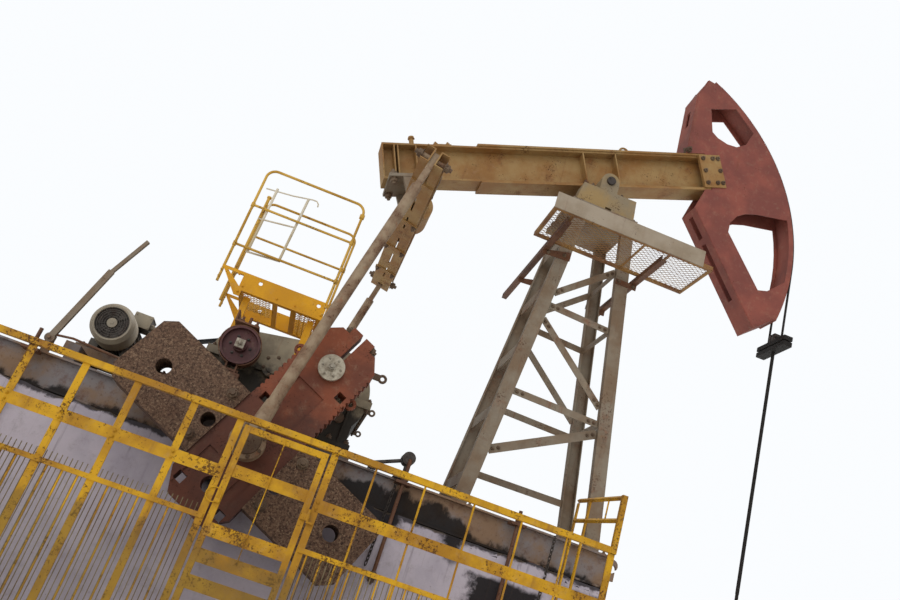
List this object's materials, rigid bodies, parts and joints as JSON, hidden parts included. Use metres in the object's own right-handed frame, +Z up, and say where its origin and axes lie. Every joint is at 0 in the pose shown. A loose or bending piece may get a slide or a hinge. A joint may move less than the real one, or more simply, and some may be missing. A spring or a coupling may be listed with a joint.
{
  "type": "beam pumping unit",
  "caption": "Weathered beam pumping unit with its horsehead up, on a concrete block foundation, with crank and counterweights, gearbox, motor, service platform and a yellow guard fence with a gate.",
  "frame": {"origin": "centre of the footprint point on the ground straight below the saddle bearing", "axes": "+X toward the horsehead, +Y toward the belt side, +Z up"},
  "size_m": [6.386, 3.061, 7.0913],
  "materials": {
    "concrete": "matt",
    "dark_steel": "satin",
    "grey_paint": "matt",
    "ochre_paint": "matt",
    "oxide_paint": "matt",
    "yellow_paint": "satin",
    "cream_paint": "satin",
    "tan_paint": "satin",
    "cast_iron": "matt",
    "maroon_paint": "satin",
    "rusty_steel": "matt",
    "bare_steel": "satin",
    "wire_rope": "satin",
    "black_rubber": "matt"
  },
  "bodies": {
    "base": {"foundation": "concrete", "base_frame": "dark_steel", "gearbox_case": "tan_paint", "gearbox_cover": "tan_paint", "brake_band": "dark_steel", "drive_belt": "black_rubber", "motor_pulley": "dark_steel", "motor": "grey_paint", "motor_cowl": "cream_paint", "motor_rails": "dark_steel", "anchor_rods": "rusty_steel", "rear_legs": "grey_paint", "front_legs": "grey_paint", "side_braces": "grey_paint", "end_braces": "grey_paint", "post_cap": "grey_paint", "saddle_bearings": "ochre_paint", "walkway_deck": "yellow_paint", "walkway_board": "grey_paint", "walkway_angles": "rusty_steel", "platform_floor": "yellow_paint", "platform_rails": "yellow_paint", "rear_fence": "yellow_paint", "front_fence": "yellow_paint", "far_fence": "yellow_paint"},
    "crank_set": {"slow_shaft": "bare_steel", "cranks": "oxide_paint", "counterweights": "cast_iron", "crank_pins": "dark_steel"},
    "beam_set": {"walking_beam": "ochre_paint", "beam_axle": "dark_steel", "head_plates": "oxide_paint", "head_arc": "oxide_paint", "head_socket": "ochre_paint", "equalizer_bearing": "grey_paint", "head_wires": "wire_rope"},
    "yoke_set": {"equalizer": "ochre_paint", "pitmans": "tan_paint"},
    "rod_set": {"carrier_bar": "wire_rope", "polished_rod": "wire_rope", "drop_wires": "wire_rope"},
    "fast_set": {"brake_drum": "maroon_paint", "belt_sheave": "dark_steel"},
    "gate_leaf": {"gate": "yellow_paint"},
    "lever_arm": {"brake_lever": "tan_paint"}
  },
  "joints": [
    {"name": "crank_turn", "type": "hinge", "parent": "base", "child": "crank_set", "pos_m": [-1.807, 0, 2.332], "axis": [0, 1, 0], "range_deg": [0, 156.34]},
    {"name": "beam_rock", "type": "hinge", "parent": "base", "child": "beam_set", "pos_m": [0, 0, 5.2], "axis": [0, 1, 0], "range_deg": [0, 48.92]},
    {"name": "yoke_swing", "type": "hinge", "parent": "beam_set", "child": "yoke_set", "pos_m": [-1.62731, 0, 4.29759], "axis": [0, 1, 0], "range_deg": [-58.66, 0]},
    {"name": "rod_slide", "type": "slide", "parent": "base", "child": "rod_set", "axis": [0, 0, 1], "range_m": [-1.80265, 0], "deforming": ["drop_wires"]},
    {"name": "fast_turn", "type": "hinge", "parent": "base", "child": "fast_set", "pos_m": [-2.49, 0, 2.35], "axis": [0, 1, 0], "range_deg": [0, 4960.67]},
    {"name": "gate_swing", "type": "hinge", "parent": "base", "child": "gate_leaf", "pos_m": [-1.612, -1.528, 0.9], "axis": [0, 0, 1], "range_deg": [0, 100]},
    {"name": "brake_pull", "type": "hinge", "parent": "base", "child": "lever_arm", "pos_m": [-3.745, -0.6, 1.95], "axis": [0, 1, 0], "range_deg": [-30, 0]}
  ],
  "couplings": [
    {"joint": "beam_rock", "follows": "crank_turn", "ratio": 0.31287},
    {"joint": "yoke_swing", "follows": "crank_turn", "ratio": -0.37517},
    {"joint": "rod_slide", "follows": "crank_turn", "m_per_rad": -0.66046},
    {"joint": "fast_turn", "follows": "crank_turn", "ratio": 31.73}
  ]
}
